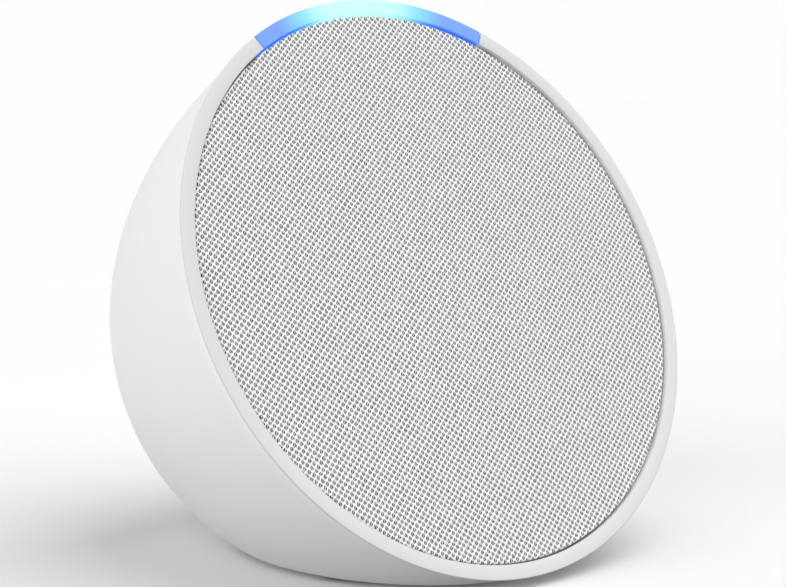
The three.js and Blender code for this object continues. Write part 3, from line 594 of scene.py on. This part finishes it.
FINISHES = {
    "shell_white": moulded("shell_white", (0.85, 0.855, 0.85), 0.5),
    # Painted shade: the rim is the shell's white plastic painted darker (0.65 against 0.85), for less light on the
    # face.
    "rim_white": moulded("rim_white", (0.650, 0.658, 0.654), 0.42, 4.0, 0.004),
    "diffuser": lit_diffuser("diffuser"),
    "face_fabric": knit("face_fabric"),
    "foot_rubber": speckled("foot_rubber", (0.10, 0.105, 0.11), 0.85, 2.2, 0.03),
    "inner_plastic": moulded("inner_plastic", (0.012, 0.012, 0.014), 0.5, 2.0, 0.02, 0.25),
    "cone_paper": speckled("cone_paper", (0.02, 0.02, 0.022), 0.8, 1.4, 0.05, 0.4),
    "surround_rubber": speckled("surround_rubber", (0.012, 0.012, 0.013), 0.6, 3.0, 0.01),
    "spider_cloth": woven("spider_cloth", (0.55, 0.33, 0.10), 0.9),
    "gasket_foam": speckled("gasket_foam", (0.015, 0.015, 0.016), 0.95, 2.6, 0.12, 0.5),
    "coil_copper": drawn_metal("coil_copper", (0.75, 0.33, 0.14), 0.32, (1, 1, 12)),
    "plated_steel": drawn_metal("plated_steel", (0.62, 0.63, 0.64), 0.3, (8, 1, 1)),
    "ferrite": speckled("ferrite", (0.045, 0.045, 0.048), 0.7, 1.8, 0.03),
    "board_green": circuit_board("board_green"),
    "chip_black": moulded("chip_black", (0.014, 0.014, 0.015), 0.45, 5.0, 0.008, 0.2),
    "chip_white": moulded("chip_white", (0.78, 0.74, 0.60), 0.35, 5.0, 0.004, 0.05),
    "wire_red": insulated("wire_red", (0.42, 0.02, 0.015)),
    "wire_black": insulated("wire_black", (0.012, 0.012, 0.013)),
    "ribbon_tan": insulated("ribbon_tan", (0.52, 0.24, 0.06)),
    "mark_grey": moulded("mark_grey", (0.28, 0.29, 0.30), 0.6, 5.0, 0.01, 0.06),
}


def finished(piece, finish, body, *nodes, slot=None):
    """Gives a piece its finish, the body it rides on, and the nodes that it stands for."""
    piece.data.materials.clear()
    piece.data.materials.append(FINISHES[finish])
    if body:
        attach(piece, body)
    if nodes:
        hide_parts(*nodes)
    return piece


for part in frame["record"]["subparts"]:
    slots = frame["nodes"][part["node"]].data.materials
    slots.clear()
    slots.append(FINISHES[part["material_slot"]])

# ---- Shell ----


def base_edge(piece):
    """Ends the dome in a flat base with a small rounding round it."""
    slice_level(piece, HOUSING_LIFT)
    edit(piece)
    bpy.ops.mesh.select_all(action="DESELECT")
    bpy.ops.mesh.select_mode(type="FACE")
    done()
    for face in piece.data.polygons:
        face.select = face.normal.z < -0.999 and face.center.z < (HOUSING_LIFT + 0.01) * MM
    bpy.ops.object.mode_set(mode="EDIT")
    bpy.ops.mesh.region_to_loop()
    bpy.ops.mesh.bevel(offset=0.25 * MM, segments=4, affect="EDGES")
    bpy.ops.mesh.select_mode(type="VERT")
    done()
    return piece


def round_holes():
    """Bars that cut the three button wells and the two microphone holes."""
    well = rod_outline(BUTTON_RADIUS + GAP, -CLEAR, SWITCH_LEVEL + 2)
    wells = [turned("well", well, at(CONTROLS, x, 0), 64) for x in BUTTON_PLACES.values()]
    mics = [
        turned("mic_hole", rod_outline(MIC_HOLE, -CLEAR, SWITCH_LEVEL), at(CONTROLS, x, 0), 24)
        for x in MIC_PLACES
    ]
    return wells + mics


JACK_LOW, JACK_HIGH = (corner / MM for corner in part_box("power_jack"))
JACK_HEIGHT = (JACK_LOW.z + JACK_HIGH.z) / 2
JACK_FRONT = JACK_HIGH.y
JACK_SEAT = JACK_FRONT - TUNNEL_DEPTH
JACK_REAR = JACK_LOW.y
BACKWARD = Matrix.Rotation(-math.pi / 2, 4, "X")


def inlet_place(y):
    """A place on the inlet's axis whose own z points out of the back."""
    return at(Matrix.Identity(4), 0, y, JACK_HEIGHT) @ BACKWARD


def post_place(angle):
    """A place on the face's ring of posts, at an angle from twelve o'clock."""
    return at(FACE, POST_RING * math.sin(angle), POST_RING * math.cos(angle))


def dome_shell():
    lip = 0.3
    start = DOME_FRONT + lip
    front = [
        (dome_radius(start) - lip + lip * math.sin(a), start - lip * math.cos(a))
        for a in (0, math.pi / 6, math.pi / 3)
    ]
    outline = [(0, DOME_FRONT), *front, *dome_outline(start, steps=72)]
    shell = turned("dome_shell", outline, sides=256)
    base_edge(shell)
    bore = [(0, 0), (LIP_BORE, 0), (LIP_BORE, DOME_STEP)]
    hollow = turned("hollow", [*bore, *dome_outline(DOME_STEP, WALL, 40)], sides=160)
    slice_level(hollow, FLOOR_TOP)
    combine(shell, "DIFFERENCE", hollow)
    posts = [
        turned(
            "post",
            rod_outline(POST_RADIUS, BAFFLE_BACK + GAP, DOME_DEPTH),
            post_place(angle),
            32,
        )
        for angle in POST_ANGLES
    ]
    tunnel_outline = rod_outline(JACK_NOSE + GAP + TUNNEL_WALL, -CLEAR, TUNNEL_DEPTH)
    tunnel = turned("tunnel", tunnel_outline, inlet_place(JACK_FRONT), 64)
    rest = block("rest", (-5, JACK_REAR + 2, 0), (5, JACK_SEAT - 2, JACK_LOW.z - GAP))
    bosses = [
        turned("boss", rod_outline(BOSS_RADIUS, 0, BOSS_END), at(CONTROLS, x, 0), 32)
        for x in BOSS_PLACES
    ]
    skin = turned("skin", [(0, 1.4), *dome_outline(DOME_FRONT, WALL / 2, 40)], sides=160)
    slice_level(skin, FLOOR_TOP - 0.45)
    inner = pick(*posts, tunnel, rest, *bosses)
    bpy.ops.object.join()
    combine(inner, "INTERSECT", skin)
    combine(shell, "UNION", inner)
    screw_holes = [
        turned(
            "post_hole",
            rod_outline(SCREW_HOLE, 5, BAFFLE_BACK + 6),
            post_place(angle),
            24,
        )
        for angle in POST_ANGLES
    ]
    screw_holes += [
        turned("boss_hole", rod_outline(BOSS_HOLE, 7, CLEAR), at(CONTROLS, x, 0), 24)
        for x in BOSS_PLACES
    ]
    hole_outline = rod_outline(JACK_NOSE + GAP, -CLEAR, JACK_FRONT - JACK_REAR)
    inlet_hole = turned("inlet_hole", hole_outline, inlet_place(JACK_FRONT), 64)
    combine(shell, "DIFFERENCE", *screw_holes, *round_holes(), inlet_hole)
    combine(shell, "DIFFERENCE", foot_shape("foot_recess", FOOT_INSET - GAP, -1, FOOT_TOP + GAP))
    return finished(smooth(shell), "shell_white", "housing", "rear_housing")


def foot_shape(name, inset, bottom, top):
    """A level slab of the base's outline, moved in by an inset."""
    slab = turned(name, [(0, 1.4), *dome_outline(DOME_FRONT, steps=40)], sides=160)
    slice_level(slab, HOUSING_LIFT, keep_above=True)
    edit(slab)
    bpy.ops.mesh.select_all(action="DESELECT")
    bpy.ops.mesh.select_mode(type="FACE")
    done()
    for face in slab.data.polygons:
        face.select = face.normal.z < -0.999 and face.center.z < (HOUSING_LIFT + 0.01) * MM
    bpy.ops.object.mode_set(mode="EDIT")
    bpy.ops.mesh.select_all(action="INVERT")
    bpy.ops.mesh.delete(type="FACE")
    bpy.ops.mesh.select_all(action="SELECT")
    bpy.ops.mesh.inset(thickness=inset * MM, depth=0, use_boundary=True)
    bpy.ops.mesh.select_all(action="INVERT")
    bpy.ops.mesh.delete(type="FACE")
    bpy.ops.mesh.select_all(action="SELECT")
    bpy.ops.transform.translate(value=(0, 0, (bottom - HOUSING_LIFT) * MM))
    bpy.ops.mesh.extrude_region_move(TRANSFORM_OT_translate={"value": (0, 0, (top - bottom) * MM)})
    bpy.ops.mesh.select_all(action="SELECT")
    bpy.ops.mesh.normals_make_consistent(inside=False)
    bpy.ops.mesh.select_mode(type="VERT")
    done()
    return slab


def foot():
    sole = foot_shape("foot_sole", FOOT_INSET, 0, FOOT_TOP)
    bevel_edges(sole, 0.3, 3)
    return finished(smooth(sole), "foot_rubber", "housing", "foot_pad")


# ---- Rim and light bar ----


def rim_section():
    """Front of the rim's section, from its inner edge round to its back."""
    inner = [
        (RECESS_RADIUS + EDGE - EDGE * math.cos(a), EDGE - EDGE * math.sin(a))
        for a in (0, math.pi / 4, math.pi / 2)
    ]
    outer = [
        (RIM_RADIUS - RIM_ROUNDING * (1 - math.sin(a)), RIM_ROUNDING * (1 - math.cos(a)))
        for a in (math.pi / 2 * i / 6 for i in range(7))
    ]
    back = [
        (RIM_RADIUS, RIM_EDGE - 0.05), (RIM_RADIUS - 0.05, RIM_EDGE + 0.05),
        (RIM_RADIUS - RIM_UNDERCUT, RIM_THICKNESS)]
    return [*inner, *outer, *back, (SPIGOT_RADIUS, RIM_THICKNESS)]


def rim():
    ring = turned(
        "rim_ring",
        closed([
            *rim_section(), (SPIGOT_RADIUS, SPIGOT_END), (SPIGOT_INNER, SPIGOT_END),
            (SPIGOT_INNER, LEDGE_BACK), (LEDGE_INNER, LEDGE_BACK), (LEDGE_INNER, LEDGE_FRONT),
            (RECESS_RADIUS, LEDGE_FRONT)]),
        sides=288,
    )
    half_angle = LIGHT_HALF_ANGLE + GAP / RIM_RADIUS
    inner = LIGHT_FOOT_INNER - GAP
    notch = turned(
        "notch",
        closed([(inner, -1), (60, -1), (60, SPIGOT_END + 1), (inner, SPIGOT_END + 1)]),
        sides=60,
        span=2 * half_angle,
    )
    behind = turned("behind", rod_outline(60, RIM_THICKNESS + 0.01, 8), sides=48)
    slice_level(behind, FLOOR_TOP + GAP, keep_above=False)
    combine(ring, "DIFFERENCE", notch)
    combine(ring, "DIFFERENCE", behind)
    # The rim's finish is white plastic with painted shade in its colour.
    return finished(smooth(ring), "rim_white", "housing", "front_bezel")


def light_bar():
    foot_front = LEDGE_FRONT + GAP
    bar = turned(
        "light_lens",
        closed([
            *rim_section(), (SPIGOT_RADIUS, LIGHT_FOOT_BACK), (LIGHT_FOOT_INNER, LIGHT_FOOT_BACK),
            (LIGHT_FOOT_INNER, foot_front), (RECESS_RADIUS, foot_front)]),
        sides=96,
        span=2 * LIGHT_HALF_ANGLE,
    )
    bevel_edges(bar, 0.08, 2)
    return finished(smooth(bar), "diffuser", "housing", "light_bar")


# ---- Face cloth ----


def cloth_relief(x, y):
    """Height of the knit at a point on the face, in millimetres: low in its lattice's holes."""
    first = x / KNIT_ACROSS + y / KNIT_UP
    second = x / KNIT_ACROSS - y / KNIT_UP
    middle = max(abs(first - round(first)), abs(second - round(second)))
    crossing = math.cos(TURN * first / 2) * math.cos(TURN * second / 2)
    return 0.16 * min(1.0, middle / 0.5) - 0.16 + 0.02 * crossing


def face_cloth():
    """The knitted cover: a fine grid cut to a disc, with relief in it and its edge tucked back."""
    columns = 2 * math.ceil(CLOTH_RADIUS / (KNIT_ACROSS / 4))
    rows = 2 * math.ceil(CLOTH_RADIUS / (KNIT_UP / 4))
    deselect()
    bpy.ops.mesh.primitive_grid_add(x_subdivisions=columns, y_subdivisions=rows, size=1)
    cloth = new_piece("face_cloth")
    edge = 0.3
    flat_radius = CLOTH_RADIUS - edge
    for vertex in cloth.data.vertices:
        vertex.co.x *= columns * KNIT_ACROSS / 4
        vertex.co.y *= rows * KNIT_UP / 4
        vertex.select = vertex.co.xy.length > flat_radius
    for item in (*cloth.data.edges, *cloth.data.polygons):
        item.select = False
    bpy.context.tool_settings.mesh_select_mode = (True, False, False)
    bpy.ops.object.mode_set(mode="EDIT")
    bpy.ops.mesh.delete(type="VERT")
    bpy.ops.mesh.select_all(action="DESELECT")
    bpy.ops.mesh.select_non_manifold(extend=False, use_wire=False, use_multi_face=False)
    done()
    for vertex in cloth.data.vertices:
        if vertex.select:
            vertex.co.xy = vertex.co.xy.normalized() * flat_radius
        fade = min(1.0, (flat_radius - vertex.co.xy.length) / 0.5)
        vertex.co.z = -CLOTH_FRONT + cloth_relief(vertex.co.x, vertex.co.y) * fade
    bpy.ops.object.mode_set(mode="EDIT")
    for angle_from, angle_to in ((0, 30), (30, 60), (60, 90)):
        start, end = math.radians(angle_from), math.radians(angle_to)
        drop = edge * (math.cos(start) - math.cos(end))
        grow = (flat_radius + edge * math.sin(end)) / (flat_radius + edge * math.sin(start))
        bpy.ops.mesh.extrude_region_move(TRANSFORM_OT_translate={"value": (0, 0, -drop)})
        bpy.ops.transform.resize(value=(grow, grow, 1), center_override=(0, 0, 0))
    tuck = CLOTH_BACK - CLOTH_FRONT - edge
    bpy.ops.mesh.extrude_region_move(TRANSFORM_OT_translate={"value": (0, 0, -tuck)})
    done()
    settle(cloth, FACE)
    pick(cloth)
    bpy.ops.object.shade_smooth()
    finished(cloth, "face_fabric", "housing", "fabric_cover")
    return cloth


# ---- Buttons ----


def dome_height(x, y):
    """Height of the dome's skin over the controls' own level at a point, in millimetres."""
    up_to_face = FACE.inverted() @ CONTROLS
    height = 0.0
    for _ in range(12):
        point = up_to_face @ (Vector((x, y, height)) * MM) / MM
        height -= point.xy.length - dome_radius(-point.z)
    return height


def drape(piece, x, lowest):
    """Curves what lies above a level to follow the dome, in the controls' own frame."""
    for vertex in piece.data.vertices:
        if vertex.co.z > lowest:
            vertex.co.z += dome_height(x + vertex.co.x, vertex.co.y)
    return piece


def button_outline():
    """Section of a cap: a shallow dish, a rounded edge, the flange that keeps it in and a stem."""
    dish = 0.22
    dish_radius = 3.5
    edge = 0.35
    top = -BUTTON_PROUD
    hollow = [
        (dish_radius * i / 8, top + dish * (1 - (i / 8) ** 2) ** 1.5) for i in range(9)
    ]
    rounded = [
        (BUTTON_RADIUS - edge + edge * math.sin(a), top + edge - edge * math.cos(a))
        for a in (0, math.pi / 8, math.pi / 4, 3 * math.pi / 8, math.pi / 2)
    ]
    under = WALL + GAP
    flange = BUTTON_RADIUS + BUTTON_FLANGE
    return [
        *hollow, *rounded, (BUTTON_RADIUS, under), (flange, under), (flange, under + 1),
        (STEM_RADIUS, under + 1), (STEM_RADIUS, STEM_END), (0, STEM_END)]


def bar(name, length, turn=0.0, width=0.55):
    """One stroke of a mark, sunk into the cap with its top just proud of the dish."""
    stroke = block(
        name, (-length / 2, -width / 2, -0.6), (length / 2, width / 2, 0.2),
        Matrix.Rotation(turn, 4, "Z") @ Matrix.Scale(1 / MM, 4), 0.08)
    apply(stroke, "SUBSURF", levels=2, render_levels=2, subdivision_type="SIMPLE")
    return stroke


def mark(name):
    """A plus, a minus, or a struck-out ring."""
    strokes = {
        "volume_down": [(2.8, 0)],
        "volume_up": [(2.8, 0), (2.8, math.pi / 2)],
        "microphone_off": [(3.8, math.pi / 4)],
    }[name]
    shape = bar(name + "_mark", *strokes[0])
    for stroke in strokes[1:]:
        combine(shape, "UNION", bar("stroke", *stroke))
    if name == "microphone_off":
        hoop = turned(
            "hoop",
            closed([(1.05, -0.2), (1.5, -0.2), (1.5, 0.6), (1.05, 0.6)]),
            Matrix.Scale(1 / MM, 4),
            48,
        )
        combine(shape, "UNION", hoop)
    return shape


def buttons():
    for name, x in BUTTON_PLACES.items():
        cap = turned(name + "_cap", button_outline(), Matrix.Scale(1 / MM, 4), 72)
        settle(drape(cap, x, -(WALL + GAP + 1.2)), at(CONTROLS, x, 0))
        finished(smooth(cap), "shell_white", name, name + "_button")
        symbol = drape(mark(name), x, -10)
        settle(symbol, at(CONTROLS, x, 0))
        finished(smooth(symbol), "mark_grey", name, slot="shell_white")


# ---- Power inlet ----


def inlet():
    nose = turned(
        "inlet_barrel",
        closed([
            (JACK_BORE + 0.4, 0), (JACK_NOSE - 0.2, 0), (JACK_NOSE, 0.2), (JACK_NOSE, 8),
            (JACK_BORE, 8), (JACK_BORE, 0.4)]),
        inlet_place(JACK_FRONT),
        64,
    )
    rear_top = (JACK_HIGH.x, JACK_SEAT - GAP, JACK_HIGH.z)
    body = block("body", (JACK_LOW.x, JACK_REAR, JACK_LOW.z), rear_top, edge=0.3)
    bore_outline = rod_outline(JACK_BORE, -1, JACK_FRONT - JACK_REAR - 4)
    bore = turned("bore", bore_outline, inlet_place(JACK_FRONT), 64)
    combine(body, "DIFFERENCE", bore)
    combine(nose, "UNION", body)
    finished(smooth(nose), "inner_plastic", "housing", "power_jack")
    low, high = (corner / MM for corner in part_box("power_jack_pin"))
    contact = turned(
        "inlet_pin", rod_outline(1.0, 0, high.y - low.y, 0.45), inlet_place(high.y), 40
    )
    finished(smooth(contact, 60), "plated_steel", "housing", "power_jack_pin")


# ---- Surround and spider ----


def ring_sectors(node, finish, outline, outer, inner):
    """A ring between the basket and the cone. It is made in twelve sectors,
    which meet exactly because neighbours are mirror images."""
    sectors = 12
    for i in range(sectors):
        place = at(FACE, 0, 0, -BAFFLE_FRONT) @ Matrix.Rotation(TURN * i / sectors, 4, "Z")
        piece = turned(f"{node}_{i + 1}", closed(outline), place, 10, TURN / sectors)
        finished(smooth(piece), finish, None, node)
        middle, across = place.translation, place.to_3x3() @ Vector((0, MM, 0))
        start, end = middle + across * outer, middle + across * inner
        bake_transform(piece)


def surround():
    """A half roll of rubber with flat lips, one glued to the basket and one to the cone."""
    def arc(radius, depth, angles):
        return [
            (ROLL_RADIUS + radius * math.cos(a), depth - radius * math.sin(a))
            for a in (math.pi * i / 16 for i in angles)
        ]
    back = LIP_FRONT + PAPER
    outline = [
        (LIP_OUTER, back), (LIP_OUTER, LIP_FRONT), *arc(ROLL, LIP_FRONT, range(17)),
        (LIP_INNER, LIP_FRONT), (LIP_INNER, back), *arc(ROLL - PAPER, back, range(16, -1, -1))]
    ring_sectors("surround", "surround_rubber", outline, outer=20.6, inner=17.6)


def spider():
    """Corrugated cloth from the voice coil's neck out to the basket's shelf."""
    first, last, edge = 6.7, 13.2, 15.2
    steps = 32
    wave = 0.45
    front = [
        (first + (last - first) * i / steps, SPIDER_DEPTH - wave * math.sin(2 * TURN * i / steps))
        for i in range(steps + 1)
    ]
    front.append((edge, SPIDER_DEPTH))
    back = [(radius, depth + PAPER) for radius, depth in reversed(front)]
    ring_sectors("spider", "spider_cloth", [*front, *back], outer=12.7, inner=6.9)


dome_shell()
foot()
rim()
surround()
spider()
light_bar()
face_cloth()
buttons()
inlet()

# ---- Studio ----


def studio_floor():
    """A plain pale flat disc to stand on."""
    deselect()
    bpy.ops.mesh.primitive_circle_add(vertices=96, radius=40, fill_type="NGON")
    floor = new_piece("studio_floor")
    finish = Finish("studio_floor", grey(0.86), 0.9)
    finish.paint(grey(0.85), grey(0.87), finish.noise(0.01, 2))
    floor.data.materials.append(finish.material)
    return floor


def soft_light(name, toward, strength):
    """A broad, distant lamp whose light comes from one side."""
    deselect()
    bpy.ops.object.light_add(type="SUN")
    lamp = bpy.context.object
    lamp.name = name
    lamp.data.energy = strength
    lamp.data.angle = math.radians(85)
    lamp.rotation_euler = Vector(toward).to_track_quat("Z", "Y").to_euler()


def studio():
    """Soft lamps on the left, on the right above the face, and behind. The floor shows a soft
    shadow but sends no light back up, so that the underside falls away to grey."""
    floor = studio_floor()
    floor.visible_diffuse = False
    floor.visible_shadow = False
    soft_light("left", (-0.95, -0.25, 0.17), 2.75)
    soft_light("right", (0.5, -0.45, 0.75), 3.0)
    soft_light("behind", (0.1, 0.95, 0.3), 1.2)
    world = bpy.data.worlds.new("studio")
    bpy.context.scene.world = world
    world.use_nodes = True
    sky = world.node_tree.nodes["Background"]
    sky.inputs["Color"].default_value = (1, 1, 1, 1)
    sky.inputs["Strength"].default_value = 0.08
    bpy.context.scene.view_settings.view_transform = "Standard"


def camera():
    target = CENTRE + Vector((-11.29, 0.16, -1.29)) * MM
    toward = Vector((-0.6385, -0.7575, 0.1364)).normalized()
    distance = 351.7 * MM
    deselect()
    bpy.ops.object.camera_add(location=target + toward * distance)
    eye = bpy.context.object
    eye.rotation_euler = toward.to_track_quat("Z", "Y").to_euler()
    eye.data.lens = 102.1
    eye.data.sensor_width = 36
    eye.data.clip_start = 0.01
    bpy.context.scene.camera = eye


studio()
camera()
